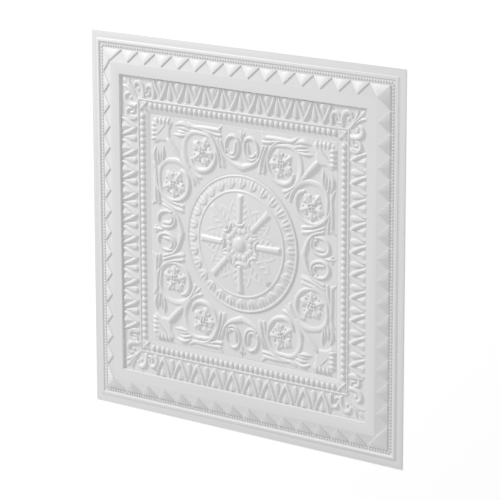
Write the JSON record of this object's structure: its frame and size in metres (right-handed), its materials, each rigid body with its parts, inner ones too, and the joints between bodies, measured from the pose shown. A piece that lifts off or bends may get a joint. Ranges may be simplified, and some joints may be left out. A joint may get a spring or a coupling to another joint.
{
  "type": "pvc ceiling tile",
  "caption": "Square lay-in ceiling tile formed from white PVC sheet, with a stepped relief frame, leaf band and round medallion, and a flat edge that rests on the ceiling grid.",
  "frame": {"origin": "middle of the tile, on the plane of the flat edge's underside", "axes": "+Z out of the relief face, up as the tile lies face up; +X and +Y along two sides, +Y towards the side that is uppermost in the picture"},
  "size_m": [0.603, 0.603, 0.0127],
  "materials": {
    "white_pvc": "matte white, smooth"
  },
  "bodies": {
    "root": {"ceiling_tile": "white_pvc"}
  },
  "joints": []
}
